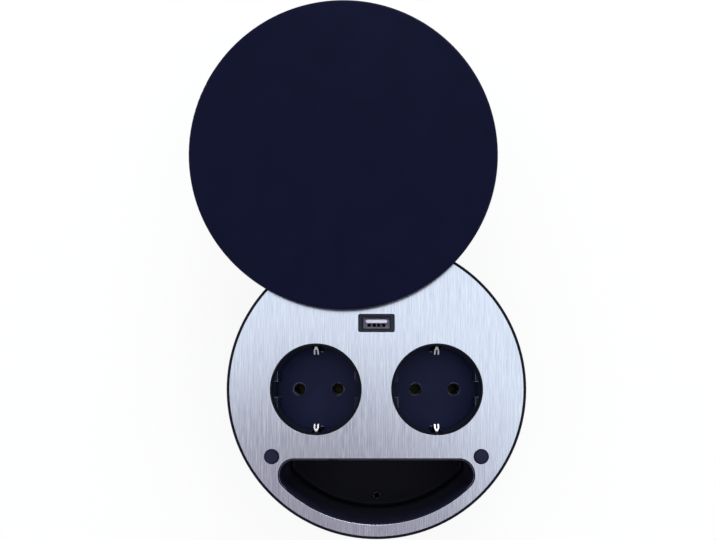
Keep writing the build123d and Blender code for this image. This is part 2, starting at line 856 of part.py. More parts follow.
def lid_underplate():
    plate = disc(lid_radius - lid_wall - seat_gap, lid_low, lid_plate_top)
    plate -= disc(shaft_radius + seat_gap, lid_low, lid_plate_top, pivot)
    outer, inner = lid_screw_places()
    for x, y in outer + inner:
        middle = Pos(x, y, (lid_low + lid_plate_top) / 2)
        plate -= middle * Cone(screw_head, screw_radius + thread_gap, lid_plate_thickness)
    return plate


def lid_screws():
    """Countersunk screws, flush under the lid: five into the cover, three into the shaft's flange."""
    outer, inner = lid_screw_places()
    screws = []
    for x, y in outer + inner:
        head = Pos(x, y, (lid_low + lid_plate_top) / 2) * Cone(screw_head, screw_radius, lid_plate_thickness)
        screws.append(head + disc(screw_radius, lid_plate_top, lid_skin_low - moving_gap, (x, y)))
    return Compound(screws)


def lid_pivot_shaft():
    shaft = disc(shaft_flange_radius, lid_plate_top, lid_skin_low, pivot)
    shaft += disc(shaft_radius, -boss_depth - moving_gap, lid_plate_top, pivot)
    end = disc(shaft_radius, shaft_low, -boss_depth - moving_gap, pivot)
    flats = (pivot_distance - shaft_flat, pivot_distance + shaft_flat)
    shaft += end & block((-shaft_radius, shaft_radius), flats, (shaft_low, lid_low))
    shaft -= disc(pivot_screw_radius + thread_gap, shaft_low, shaft_low + pivot_screw_length, pivot)
    for place in lid_screw_places()[1]:
        shaft -= disc(screw_radius + thread_gap, lid_plate_top, lid_skin_low, place)
    return shaft


def pivot_stop_plate():
    """Keyed disc under the bush, whose arm meets a post at each end of the swing."""
    tip = stop_reach - stop_width / 2
    outline = Circle(stop_hub_radius) + Pos(tip / 2, 0) * Rectangle(tip, stop_width)
    outline += Pos(tip, 0) * Circle(stop_width / 2)
    key = Circle(shaft_radius + running_gap) & Rectangle(4 * shaft_radius, 2 * (shaft_flat + running_gap))
    return slab(Pos(*pivot) * (outline - key), shaft_low, shaft_low + stop_thickness)


def pivot_spring_washer():
    """Curved spring washer: a ring cut out of a bent sheet."""
    bow = spring_rise - spring_thickness
    bend = (spring_outer ** 2 + bow ** 2) / (2 * bow)
    ring = tube(spring_outer, pivot_screw_radius + moving_gap, shaft_low - spring_rise, shaft_low, pivot)
    crown = Pos(0, pivot_distance, shaft_low - bend) * Rot(0, 90, 0)
    sheet = Cylinder(bend, 4 * spring_outer) - Cylinder(bend - spring_thickness, 4 * spring_outer)
    return ring & (crown * sheet)


def pivot_screw():
    head_low = shaft_low - spring_rise - column_screw_height
    length = spring_rise + pivot_screw_length - moving_gap
    return screw(pivot, head_low, pivot_screw_head, column_screw_height, pivot_screw_radius, length)


def clamp_screw():
    low = clamp_shoulder() - moving_gap - clamp_head_height
    length = clamp_top_hole - skirt_depth - 2 * moving_gap - low - clamp_head_height
    pan = screw((clamp_distance, 0), low, clamp_head_radius, clamp_head_height, clamp_screw_radius, length)
    slot = (low, low + clamp_slot_depth)
    return pan - block(around(clamp_distance, clamp_slot_width / 2), around(0, clamp_head_radius), slot)


def clamp_arm():
    """Swing-out claw, folded along the shell: deep at the screw and thin at the tip."""
    low = pocket_low + clamp_rest
    high = low + clamp_height
    thin = high - clamp_tip_height
    side = make_face(Plane.YZ * Polyline(
        (0, low), (clamp_hub_radius, low), (clamp_reach, thin), (clamp_reach, high), (0, high), close=True))
    arm = Pos(clamp_distance, 0, 0) * extrude(side, clamp_thickness / 2, both=True)
    arm += disc(clamp_hub_radius, low, high, (clamp_distance, 0))
    return arm - disc(clamp_screw_radius + running_gap, low, high, (clamp_distance, 0))


def swung(shape):
    """Turn a piece of the closed lid about the pivot to where the photo shows it."""
    return shape.rotate(Axis((0, pivot_distance, 0), (0, 0, 1)), -lid_open_angle)


def right(shape):
    return Pos(socket_pitch / 2, 0, 0) * shape


def half_turn(shape):
    return Rot(0, 0, 180) * shape


insert = socket_insert()
clip = earth_clip()
line_bar = busbar()
claw_screw = clamp_screw()
claw = clamp_arm()

parts = {
    "collar_frame": collar_frame(),
    "face_plate": face_plate(),
    "lower_housing": lower_housing(),
    "housing_screws": housing_screws(),
    "cable_tray": cable_tray(),
    "tray_screw": tray_screw(),
    "socket_insert_right": right(insert),
    "socket_insert_left": mirror(right(insert), Plane.YZ),
    "insert_screws": screw_set(ear_places(), ear_low, -ear_low - moving_gap),
    "earth_clip_right": right(clip),
    "earth_clip_left": mirror(right(clip), Plane.YZ),
    "earth_link": earth_link(),
    "busbar_line": line_bar,
    "busbar_neutral": half_turn(line_bar),
    "contact_cover": contact_cover(),
    "contact_cover_screws": screw_set(cover_screw_places(), cover_low, cover_screw_length),
    "terminal_block": terminal_block(),
    "terminal_screws": terminal_screws(),
    "wire_line": supply_wire(wire_tab_offset, bar_low),
    "wire_neutral": supply_wire(-wire_tab_offset, bar_low),
    "wire_earth": supply_wire(0, floor_low - clip_thickness - link_thickness),
    "usb_lead_line": usb_lead(bar_offset + 2, bar_offset),
    "usb_lead_neutral": usb_lead(-bar_offset - 2, -bar_offset),
    "usb_bezel": usb_bezel(),
    "usb_shell": usb_shell(),
    "usb_tongue": usb_tongue(),
    "usb_contacts": usb_contacts(),
    "usb_board": usb_board(),
    "usb_transformer": usb_transformer(),
    "usb_capacitors": usb_capacitors(),
    "board_screws": screw_set(board_screw_places, board_low, board_thickness + board_depth / 2 - moving_gap),
    "gland_body": gland_body(),
    "gland_locknut": gland_locknut(),
    "gland_seal": gland_seal(),
    "gland_dome_nut": gland_dome_nut(),
    "rest_pad_left": rest_pad(-1),
    "rest_pad_right": rest_pad(1),
    "pivot_bush": Pos(*pivot, 0) * pivot_bush(),
    "lid_cover": swung(lid_cover()),
    "lid_underplate": swung(lid_underplate()),
    "lid_pivot_shaft": swung(lid_pivot_shaft()),
    "lid_screws": swung(lid_screws()),
    "pivot_stop_plate": swung(pivot_stop_plate()),
    "pivot_spring_washer": swung(pivot_spring_washer()),
    "pivot_screw": pivot_screw(),
    "clamp_screw_right": claw_screw,
    "clamp_screw_left": half_turn(claw_screw),
    "clamp_arm_right": claw,
    "clamp_arm_left": half_turn(claw),
}

os.makedirs("parts", exist_ok=True)
for name, shape in parts.items():
    export_step(shape, f"parts/{name}.step")
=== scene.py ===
import json
import math
import bmesh
import bpy
from mathutils import Matrix, Vector


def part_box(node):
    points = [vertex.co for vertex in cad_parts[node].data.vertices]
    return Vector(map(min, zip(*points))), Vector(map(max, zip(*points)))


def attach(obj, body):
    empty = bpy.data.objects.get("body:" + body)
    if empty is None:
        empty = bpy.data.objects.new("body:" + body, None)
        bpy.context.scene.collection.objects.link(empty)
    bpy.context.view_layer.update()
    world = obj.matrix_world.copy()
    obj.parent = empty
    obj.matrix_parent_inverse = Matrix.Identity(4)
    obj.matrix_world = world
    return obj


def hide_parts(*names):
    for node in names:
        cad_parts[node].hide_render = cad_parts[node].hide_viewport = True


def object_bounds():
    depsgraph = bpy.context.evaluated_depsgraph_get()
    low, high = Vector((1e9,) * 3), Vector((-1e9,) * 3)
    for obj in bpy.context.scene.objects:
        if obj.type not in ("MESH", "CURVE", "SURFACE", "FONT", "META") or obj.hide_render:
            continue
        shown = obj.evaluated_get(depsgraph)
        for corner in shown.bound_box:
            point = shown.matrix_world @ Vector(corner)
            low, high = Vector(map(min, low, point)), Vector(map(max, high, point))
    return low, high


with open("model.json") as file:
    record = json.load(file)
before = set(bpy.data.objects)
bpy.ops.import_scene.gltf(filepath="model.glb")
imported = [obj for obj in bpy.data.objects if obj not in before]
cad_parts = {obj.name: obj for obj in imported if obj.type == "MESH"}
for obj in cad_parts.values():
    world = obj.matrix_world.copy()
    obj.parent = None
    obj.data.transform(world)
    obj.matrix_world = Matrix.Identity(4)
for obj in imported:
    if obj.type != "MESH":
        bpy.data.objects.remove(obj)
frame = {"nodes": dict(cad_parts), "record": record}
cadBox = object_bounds()
mm = 0.001
print("frame loaded")


def addObject(name, data):
    made = bpy.data.objects.new(name, data)
    bpy.context.scene.collection.objects.link(made)
    return made


# camera: straight above the plate, with the film shifted as the photo is cropped
cameraSet = {
    "photoWidth": 716,               # px
    "photoHeight": 540,
    "plumbPoint": (380, 380),        # px, the point straight below the lens
    "plateCentre": (376.44, 389.4),  # px
    "plateScale": 2.1135,            # px for each mm of the plate
    "height": 365.0,                 # mm above the plate
    "film": 36.0,                    # mm across
    "clip": (0.01, 20.0),            # m, the nearest and furthest point that shows
}


def addCamera(values):
    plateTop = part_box("face_plate")[1].z
    plumb, centre = values["plumbPoint"], values["plateCentre"]
    width, scale = values["photoWidth"], values["plateScale"]
    data = bpy.data.cameras.new("photoCamera")
    data.sensor_width = values["film"]
    data.lens = scale * values["height"] * values["film"] / width
    data.clip_start, data.clip_end = values["clip"]
    data.shift_x = (width / 2 - plumb[0]) / width
    data.shift_y = (plumb[1] - values["photoHeight"] / 2) / width
    camera = addObject("photoCamera", data)
    x, y = (plumb[0] - centre[0]) / scale, (centre[1] - plumb[1]) / scale
    camera.location = (x * mm, y * mm, plateTop + values["height"] * mm)
    bpy.context.scene.camera = camera


addCamera(cameraSet)
bpy.context.scene.view_settings.view_transform = "Standard"
print("camera placed")


# shader maths: an expression on values adds its Math nodes
class Value:
    def __init__(self, recipe, socket):
        self.recipe = recipe
        self.socket = socket

    def maths(self, operation, other):
        made = self.recipe.node("ShaderNodeMath", {"operation": operation}, {0: self, 1: other})
        return Value(self.recipe, made.outputs[0])

    def __add__(self, other):
        return self.maths("ADD", other)

    def __radd__(self, other):
        return self.maths("ADD", other)

    def __mul__(self, other):
        return self.maths("MULTIPLY", other)

    def __rmul__(self, other):
        return self.maths("MULTIPLY", other)

    def __sub__(self, other):
        return self.maths("SUBTRACT", other)

    def __rsub__(self, other):
        return (self * -1) + other

    # 0 at low and below, 1 at high and above, with a smooth change
    def between(self, low, high):
        made = self.recipe.node(
            "ShaderNodeMapRange", {"interpolation_type": "SMOOTHSTEP"},
            {"Value": self, "From Min": low, "From Max": high})
        return Value(self.recipe, made.outputs[0])


class Recipe:
    def __init__(self, owner):
        owner.use_nodes = True
        self.owner = owner
        self.tree = owner.node_tree
        self.shader = self.tree.nodes.get("Principled BSDF")
        self.coordinates = self.node("ShaderNodeTexCoord").outputs
        self.place = self.coordinates["Object"]

    def feed(self, socket, value):
        if isinstance(value, Value):
            value = value.socket
        if isinstance(value, bpy.types.NodeSocket):
            self.tree.links.new(value, socket)
        else:
            socket.default_value = value

    def node(self, kind, settings=None, sockets=None):
        made = self.tree.nodes.new(kind)
        for name, value in (settings or {}).items():
            setattr(made, name, value)
        for name, value in (sockets or {}).items():
            self.feed(made.inputs[name], value)
        return made

    def stretched(self, scale):
        made = self.node("ShaderNodeMapping", None, {"Vector": self.place, "Scale": scale})
        return made.outputs["Vector"]

    def noise(self, scale, detail=2.0, roughness=0.5, where=None):
        made = self.node("ShaderNodeTexNoise", None, {
            "Vector": where or self.place, "Scale": scale,
            "Detail": detail, "Roughness": roughness})
        return Value(self, made.outputs["Fac"])

    def mixed(self, share, low, high):
        low, high = [(*c, 1) if isinstance(c, tuple) else c for c in (low, high)]
        sockets = {0: share, 6: low, 7: high}
        return self.node("ShaderNodeMix", {"data_type": "RGBA"}, sockets).outputs[2]

    def bump(self, height, depth):
        sockets = {"Height": height, "Distance": depth * mm}
        return self.node("ShaderNodeBump", None, sockets).outputs["Normal"]

    def vector(self, operation, *vectors):
        sockets = dict(enumerate(vectors))
        outputs = self.node("ShaderNodeVectorMath", {"operation": operation}, sockets).outputs
        return outputs["Value" if operation == "LENGTH" else "Vector"]

    def height(self):
        parts = self.node("ShaderNodeSeparateXYZ", None, {0: self.place}).outputs
        return Value(self, parts["Z"])

    def mark(self, name):
        made = self.node("ShaderNodeAttribute", {"attribute_name": name})
        return Value(self, made.outputs["Fac"])

    def finish(self, **sockets):
        for name, value in sockets.items():
            self.feed(self.shader.inputs[name.replace("_", " ")], value)
        return self.owner


# plastics: two close shades in soft clouds, under the fine grain of a spark-eroded mould.
# "grain" and "depth" are the grain's size and height in mm. Some pieces have further shades:
# "edge" on rounded edges, in spots that form where the noise passes through "spots": a painted
# highlight on the wells and the tray, and a painted shade on the lid and the bezel;
# "rim" on the outer rim of a well or pad; and "foot" and "top" at the two heights "wall", in mm:
# painted light on the tray's walls that lifts their shade, and painted shade on the wells' walls
plasticSet = {
    "mouldedBlack": {
        "dark": (0.0032, 0.0033, 0.0085), "light": (0.0048, 0.0050, 0.0115),
        "grain": 0.35, "depth": 0.012, "rough": (0.43, 0.46), "shine": 0.08},
    "wellBlack": {
        "dark": (0.0073, 0.0106, 0.0465), "light": (0.0106, 0.0141, 0.0550),
        "grain": 0.35, "depth": 0.010, "rough": (0.41, 0.45), "shine": 0.12,
        # painted highlight: "edge" lays pale lines on the rounded edges of the rim, the ledges
        # and the pin holes
        "edge": (0.34, 0.34, 0.38), "spots": (0.35, 0.65), "rim": (0.0012, 0.0014, 0.0050),
        # painted shade: the walls above the floor take a darker, less blue tone than the floor
        # ("foot" and "top")
        "wall": (-13.3, 3.0), "foot": (0.0068, 0.0095, 0.0240), "top": (0.0068, 0.0095, 0.0240)},
    "trayBlack": {
        "dark": (0.0050, 0.0054, 0.0102), "light": (0.0070, 0.0075, 0.0132),
        "grain": 0.4, "depth": 0.014, "rough": (0.43, 0.47), "shine": 0.11,
        # painted highlight: "edge" lays a pale line along the rim's inner rounded edge
        "edge": (0.10, 0.095, 0.15), "spots": (0.2, 0.5),
        # painted light: the walls are painted lighter, most at their foot, to lift the shade of
        # the deep corner
        "wall": (-31.0, -4.0), "foot": (0.030, 0.030, 0.042), "top": (0.008, 0.008, 0.020)},
    "satinLid": {
        "dark": (0.0034, 0.0040, 0.0180), "light": (0.0040, 0.0047, 0.0205),
        "grain": 0.5, "depth": 0.006, "rough": (0.42, 0.44), "shine": 0.035,
        # painted shade: "edge" darkens the lid's rounded edges so that they show no sheen
        "edge": (0.001, 0.001, 0.004), "spots": (0.35, 0.65)},
    "padRubber": {
        "dark": (0.0105, 0.0112, 0.0310), "light": (0.0145, 0.0152, 0.0390),
        "grain": 0.22, "depth": 0.02, "rough": (0.55, 0.66), "shine": 0.10,
        "rim": (0.0020, 0.0020, 0.0080)},
    "bezelGrey": {
        "dark": (0.0200, 0.0240, 0.0360), "light": (0.0320, 0.0340, 0.0540),
        "grain": 0.3, "depth": 0.01, "rough": (0.38, 0.48), "shine": 0.12,
        # painted shade: "edge" draws a dark outline along the bezel's rounded edges
        "edge": (0.002, 0.002, 0.006), "spots": (0.0, 0.25)},
    "sealRubber": {
        "dark": (0.012, 0.012, 0.013), "light": (0.02, 0.02, 0.021),
        "grain": 0.25, "depth": 0.02, "rough": (0.6, 0.7), "shine": 0.3},
    "bushNylon": {
        "dark": (0.52, 0.51, 0.46), "light": (0.60, 0.59, 0.54),
        "grain": 0.3, "depth": 0.008, "rough": (0.4, 0.5), "shine": 0.5},
    "blockNylon": {
        "dark": (0.50, 0.50, 0.48), "light": (0.60, 0.60, 0.57),
        "grain": 0.4, "depth": 0.01, "rough": (0.42, 0.52), "shine": 0.5},
    "whiteTongue": {
        "dark": (0.84, 0.85, 1.0), "light": (0.92, 0.93, 1.0),
        "grain": 0.2, "depth": 0.004, "rough": (0.3, 0.4), "shine": 0.5},
    "brownWire": {
        "dark": (0.14, 0.06, 0.025), "light": (0.19, 0.085, 0.04),
        "grain": 0.3, "depth": 0.006, "rough": (0.38, 0.48), "shine": 0.5},
    "blueWire": {
        "dark": (0.03, 0.09, 0.36), "light": (0.045, 0.125, 0.44),
        "grain": 0.3, "depth": 0.006, "rough": (0.38, 0.48), "shine": 0.5},
    "boardMask": {
        "dark": (0.02, 0.11, 0.045), "light": (0.035, 0.17, 0.07),
        "grain": 1.2, "depth": 0.01, "rough": (0.3, 0.42), "shine": 0.5},
    "coilFerrite": {
        "dark": (0.04, 0.04, 0.045), "light": (0.075, 0.075, 0.08),
        "grain": 0.25, "depth": 0.015, "rough": (0.55, 0.7), "shine": 0.4},
    "canSleeve": {
        "dark": (0.02, 0.03, 0.07), "light": (0.03, 0.045, 0.10),
        "grain": 0.3, "depth": 0.004, "rough": (0.25, 0.35), "shine": 0.5},
}
mouldSet = {
    "cloudScale": 70.0,
    "band": (0.35, 0.65),   # noise over which dark turns to light
    "cloudShare": 0.7,      # the rest of the tone is the grain's
    # the spots carry the painted highlight and painted shade on the edges; footBlend sets where
    # a wall's painted tone begins
    "spotScale": 260.0,     # of the spots on the edges
    "footBlend": 1.5,       # mm below a wall's foot in which its shade begins
}


def mouldedPlastic(name, look, values):
    recipe = Recipe(bpy.data.materials.new(name))
    spark = recipe.noise(1 / (look["grain"] * mm), detail=3.0, roughness=0.6)
    cloud = recipe.noise(values["cloudScale"], detail=3.0).between(*values["band"])
    grain = spark.between(*values["band"])
    share = cloud * values["cloudShare"] + grain * (1 - values["cloudShare"])
    colour = recipe.mixed(share, look["dark"], look["light"])
    # painted light on the tray's walls and painted shade on the wells' walls, by height
    if "wall" in look:
        height = recipe.height()
        foot, top = [level * mm for level in look["wall"]]
        wall = recipe.mixed(height.between(foot, top), look["foot"], look["top"])
        onWall = height.between(foot - values["footBlend"] * mm, foot)
        colour = recipe.mixed(onWall, colour, wall)
    if "rim" in look:
        colour = recipe.mixed(recipe.mark("rim"), colour, look["rim"])
    # painted highlight on the edges of wells and tray, painted shade on those of lid and bezel
    if "edge" in look:
        spots = recipe.noise(values["spotScale"]).between(*look["spots"])
        colour = recipe.mixed(recipe.mark("edge") * spots, colour, look["edge"])
    low, high = look["rough"]
    return recipe.finish(
        Base_Color=colour, Roughness=cloud * (high - low) + low,
        Specular_IOR_Level=look["shine"], Normal=recipe.bump(spark, look["depth"]))


# metals: plating clouds and fine pits, whose size is "pit" in mm
metalSet = {
    "clipNickel": {
        "dark": (0.26, 0.26, 0.275), "light": (0.40, 0.40, 0.42),
        "pit": 0.5, "rough": (0.22, 0.32)},
    # painted shade: the contact brass is made nearly black so that the pin holes look deep and
    # dark
    "contactBrassPaintedShade": {
        "dark": (0.008, 0.009, 0.003), "light": (0.045, 0.046, 0.018),
        "pit": 0.4, "rough": (0.3, 0.4)},
    "zincPlate": {
        "dark": (0.36, 0.37, 0.39), "light": (0.52, 0.53, 0.55),
        "pit": 0.5, "rough": (0.3, 0.44)},
    "castZinc": {
        "dark": (0.26, 0.27, 0.29), "light": (0.38, 0.39, 0.41),
        "pit": 0.7, "rough": (0.42, 0.56)},
    "turnedSteel": {
        "dark": (0.42, 0.42, 0.43), "light": (0.56, 0.56, 0.57),
        "pit": 0.3, "rough": (0.2, 0.32)},
    "blackScrew": {
        "dark": (0.035, 0.036, 0.048), "light": (0.060, 0.062, 0.075),
        "pit": 0.3, "rough": (0.35, 0.5)},
    # painted shade: the USB contacts are made near black, as if in shade under the tongue
    "usbContactPaintedShade": {
        "dark": (0.006, 0.005, 0.006), "light": (0.014, 0.012, 0.012),
        "pit": 0.3, "rough": (0.4, 0.5)},
}
platingSet = {
    "cloudScale": 160.0,
    "cloudBand": (0.35, 0.65),   # noise over which dark turns to light
    "pitBand": (0.3, 0.7),
    "cloudShare": 0.6,           # the rest of the tone is the pits'
    "depth": 0.003,              # mm
}


def platedMetal(name, look, values):
    recipe = Recipe(bpy.data.materials.new(name))
    pit = recipe.noise(1 / (look["pit"] * mm), detail=4.0, roughness=0.6)
    cloud = recipe.noise(values["cloudScale"]).between(*values["cloudBand"])
    pits = pit.between(*values["pitBand"])
    share = cloud * values["cloudShare"] + pits * (1 - values["cloudShare"])
    low, high = look["rough"]
    return recipe.finish(
        Base_Color=recipe.mixed(share, look["dark"], look["light"]), Metallic=1.0,
        Roughness=share * (high - low) + low, Normal=recipe.bump(pit, values["depth"]))


# USB shell: tinned inside; its mouth is painted dark, a painted shade
shellSet = {
    "inside": (0.86, 0.85, 0.92),
    # painted shade: the tone of the shell's mouth
    "mouth": (0.03, 0.03, 0.045),
    "change": (0.2, 1.3),        # mm, heights between which it turns dark
    "ragged": 0.6,               # mm by which the smears shift that line
    "smearScale": 500.0,
    "smearBand": (0.3, 0.7),
    "rough": (0.3, 0.42),
}


def tinnedShell(name, look):
    recipe = Recipe(bpy.data.materials.new(name))
    smear = recipe.noise(look["smearScale"], detail=3.0)
    level = recipe.height() + (smear - 0.5) * (look["ragged"] * mm)
    share = level.between(*[height * mm for height in look["change"]])
    low, high = look["rough"]
    return recipe.finish(
        Base_Color=recipe.mixed(share, look["inside"], look["mouth"]), Metallic=1.0,
        Roughness=smear.between(*look["smearBand"]) * (high - low) + low)


# face plate: hairlines brushed along Y, fine ones over longer ones, with a bluish tone
plateSet = {
    "dark": (0.54, 0.585, 0.72),
    "light": (0.84, 0.91, 0.98),
    "fine": (0.22, 7.0),       # mm across a line and along it
    "long": (0.45, 30.0),
    "fineShare": 0.55,         # the rest of the tone is the long lines'
    "band": (0.2, 0.8),        # noise over which dark turns to light
    "rough": (0.17, 0.26),
    "depth": 0.008,            # mm
}


def brushedSteel(name, look):
    recipe = Recipe(bpy.data.materials.new(name))
    lines = [recipe.stretched((1 / across / mm, 1 / along / mm, 1))
             for across, along in (look["fine"], look["long"])]
    fine, long = [recipe.noise(1.0, detail=1.0, where=line) for line in lines]
    share = fine.between(*look["band"]) * look["fineShare"]
    share += long.between(*look["band"]) * (1 - look["fineShare"])
    low, high = look["rough"]
    return recipe.finish(
        Base_Color=recipe.mixed(share, look["dark"], look["light"]), Metallic=1.0,
        Roughness=share * (high - low) + low, Normal=recipe.bump(fine + long, look["depth"]))


# earth wire: yellow spirals on green
earthWireSet = {
    "green": (0.03, 0.22, 0.05),
    "yellow": (0.62, 0.5, 0.03),
    "pitch": 5.0,              # mm
    "wander": 0.4,             # how far the stripes stray
    "border": (0.45, 0.55),    # wave over which green turns to yellow
    "scuffScale": 300.0,
    "scuffBand": (0.3, 0.7),
    "rough": (0.38, 0.48),
}


def stripedWire(name, look):
    recipe = Recipe(bpy.data.materials.new(name))
    wave = recipe.node("ShaderNodeTexWave", {"bands_direction": "DIAGONAL"}, {
        "Vector": recipe.place, "Scale": 1 / (look["pitch"] * mm),
        "Distortion": look["wander"], "Detail": 1.0})
    stripe = Value(recipe, wave.outputs["Fac"]).between(*look["border"])
    scuff = recipe.noise(look["scuffScale"]).between(*look["scuffBand"])
    low, high = look["rough"]
    return recipe.finish(
        Base_Color=recipe.mixed(stripe, look["green"], look["yellow"]),
        Roughness=scuff * (high - low) + low)


finishes = {name: mouldedPlastic(name, look, mouldSet) for name, look in plasticSet.items()}
finishes.update({name: platedMetal(name, look, platingSet) for name, look in metalSet.items()})
finishes["hairlineSteel"] = brushedSteel("hairlineSteel", plateSet)
finishes["stripedWire"] = stripedWire("stripedWire", earthWireSet)
finishes["tinnedShell"] = tinnedShell("tinnedShell", shellSet)

slotFinishes = {
    "black_plastic": "mouldedBlack",
    "lid_plastic": "satinLid",
    "brushed_plate": "hairlineSteel",
    "clip_steel": "clipNickel",
    "contact_brass": "contactBrassPaintedShade",
    "zinc_screw": "zincPlate",
    "dark_screw": "blackScrew",
    "shaft_steel": "turnedSteel",
    "bush_plastic": "bushNylon",
    "terminal_plastic": "blockNylon",
    "wire_brown": "brownWire",
    "wire_blue": "blueWire",
    "wire_green": "stripedWire",
    "usb_steel": "tinnedShell",
    "usb_white": "whiteTongue",
    "usb_contact": "usbContactPaintedShade",
    "board_green": "boardMask",
    "ferrite": "coilFerrite",
    "can_sleeve": "canSleeve",
    "seal_rubber": "sealRubber",
    "pad_rubber": "padRubber",
    "claw_zinc": "castZinc",
}
ownFinishes = {   # where a piece differs from the rest of its slot
    "cable_tray": "trayBlack",
    "usb_bezel": "bezelGrey",
    "socket_insert_left": "wellBlack",
    "socket_insert_right": "wellBlack",
}
record = frame["record"]
slotOf = {part["node"]: part["material_slot"] for part in record["subparts"]}
bodyOf = {node: body for body, nodes in record["behaviour"]["bodies"].items() for node in nodes}


def finishOf(node):
    return finishes[ownFinishes.get(node, slotFinishes[slotOf[node]])]


for nodeName, nodeObject in frame["nodes"].items():
    nodeObject.data.materials.clear()
    nodeObject.data.materials.append(finishOf(nodeName))
print("finishes made and given to the CAD nodes")

mergeGap = 2e-6      # m, for the vertices of a node's mesh
weldGap = 1e-6       # m, for those of a new shape
cornerAngle = 30     # degrees, above which an edge is rounded
edgeSegments = 3


def meshOf(shape, name):
    mesh = bpy.data.meshes.new(name)
    shape.to_mesh(mesh)
    shape.free()
    return mesh


# a finished shape becomes a piece that stands for its node, with the node's body and slot
def placePiece(shape, name, node, sharpAngle):
    mesh = meshOf(shape, name)
    mesh.materials.append(finishOf(node))
    mesh.shade_smooth()
    mesh.set_sharp_from_angle(angle=math.radians(sharpAngle))
    piece = addObject(name, mesh)
    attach(piece, bodyOf[node])
    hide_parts(node)
    return piece


def middle(node):
    low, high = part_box(node)
    return (low + high) / 2


def mergedCopy(node):
    shape = bmesh.new()
    shape.from_mesh(frame["nodes"][node].data)
    bmesh.ops.remove_doubles(shape, verts=shape.verts, dist=mergeGap)
    return shape


def roundCorners(shape, width):
    corners = [e for e in shape.edges if e.calc_face_angle(0) > math.radians(cornerAngle)]
    rounded = bmesh.ops.bevel(
        shape, geom=corners, offset=width * mm, offset_type="OFFSET", affect="EDGES",
        segments=edgeSegments, profile=0.5, material=-1, clamp_overlap=True)
    return rounded["faces"]


def shareBetween(value, low, high):
    return min(max((value - low) / (high - low), 0), 1)


def newVerts(made):
    return [part for part in made if isinstance(part, bmesh.types.BMVert)]


# moulded, pressed and cast pieces: the node's own form, with its edges rounded in mm
edgeSet = {
    "lid_cover": ("lidShell", 0.12),
    "lid_underplate": ("lidFloor", 0.2),
    "collar_frame": ("collarRing", 0.12),
    "face_plate": ("facePlate", 0.07),
    "lower_housing": ("housingCan", 0.35),
    "cable_tray": ("trayBowl", 0.3),
    "socket_insert_left": ("wellLeft", 0.2),
    "socket_insert_right": ("wellRight", 0.2),
    "earth_clip_left": ("clipLeft", 0.15),
    "earth_clip_right": ("clipRight", 0.15),
    "usb_bezel": ("usbFrame", 0.5),
    "usb_shell": ("usbLining", 0.08),
    "gland_body": ("glandBody", 0.25),
    "gland_locknut": ("glandLocknut", 0.25),
    "gland_dome_nut": ("glandDome", 0.35),
    "gland_seal": ("glandSeal", 0.3),
    "clamp_arm_left": ("clawLeft", 0.5),
    "clamp_arm_right": ("clawRight", 0.5),
    "pivot_bush": ("pivotBush", 0.3),
    "lid_pivot_shaft": ("pivotShaft", 0.2),
    "pivot_stop_plate": ("stopPlate", 0.2),
}
flatAngle = 0.5        # degrees, below which faces count as one
edgeSharpAngle = 60    # degrees, above which the shading breaks

# earth clips: the springs in the wells are pinched narrower than their feet
clipTipSet = {
    "foot": -15.0,    # mm, height where they begin to narrow
    "tip": -9.0,      # mm, height from which they are narrowest
    "width": 0.8,     # share of the strip's width that is left there
}

# tray's mouth: its arc moves out, in the plate and in the tray's rim
mouthSet = {
    "growth": 0.85,   # mm
    "begins": 36.0,   # mm from the middle toward the front, where the arc begins to move
    "whole": 47.0,    # mm, where it has moved by all of the growth
    "reach": 66.0,    # mm from the middle; what lies further out stays
    "skin": 0.3,      # mm below the plate's top; what lies lower stays
}

# wells: which faces are the outer rim, and which the corner round the floor that gets no painted
# highlight, in mm
wellSet = {
    "rim": 20.2,      # from the well's middle to where its black rim begins
    "floor": 15.0,    # from the well's middle to where that corner begins
    "foot": -13.0,    # height of that corner's top
}


def narrowTips(shape, centre, values):
    for vertex in shape.verts:
        share = shareBetween(vertex.co.z / mm, values["foot"], values["tip"])
        width = 1 - (1 - values["width"]) * share
        vertex.co.x = centre + (vertex.co.x - centre) * width


def widenMouth(shape, top, values):
    for vertex in shape.verts:
        across = vertex.co.xy
        if vertex.co.z > top - values["skin"] * mm and across.length < values["reach"] * mm:
            share = shareBetween(-across.y / mm, values["begins"], values["whole"])
            share *= share * (3 - 2 * share)
            vertex.co.xy += across.normalized() * (values["growth"] * mm * share)


# marks for the material: "edge" for the painted highlight and shade on rounded edges, "rim" for
# a well's dark rim. Corners that should show no bright line lose their painted highlight
def markFaces(shape, node, rounded):
    edgeMark, rimMark = [shape.faces.layers.float[name] for name in ("edge", "rim")]
    for face in rounded:
        face[edgeMark] = 1.0
    centre = middle(node).xy
    for face in shape.faces:
        place = face.calc_center_median()
        if node == "cable_tray":
            facesPlate = face.normal.xy.dot(centre - place.xy) < 0
            if facesPlate or place.y < -mouthSet["whole"] * mm:
                face[edgeMark] = 0.0
        if node.startswith("socket_insert"):
            out = (place.xy - centre).length
            if place.z < wellSet["foot"] * mm and out > wellSet["floor"] * mm:
                face[edgeMark] = 0.0
            if all((v.co.xy - centre).length > wellSet["rim"] * mm for v in face.verts):
                face[edgeMark], face[rimMark] = 0.0, 1.0


def roundEdges(node, name, width):
    shape = mergedCopy(node)
    if node.startswith("earth_clip"):
        narrowTips(shape, middle(node).x, clipTipSet)
    if node in ("face_plate", "cable_tray"):
        widenMouth(shape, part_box("face_plate")[1].z, mouthSet)
    bmesh.ops.dissolve_limit(
        shape, angle_limit=math.radians(flatAngle), verts=shape.verts, edges=shape.edges)
    for mark in ("edge", "rim"):
        shape.faces.layers.float.new(mark)
    markFaces(shape, node, roundCorners(shape, width))
    piece = placePiece(shape, name, node, edgeSharpAngle)
    piece.modifiers.new("evenShading", "WEIGHTED_NORMAL").keep_sharp = True


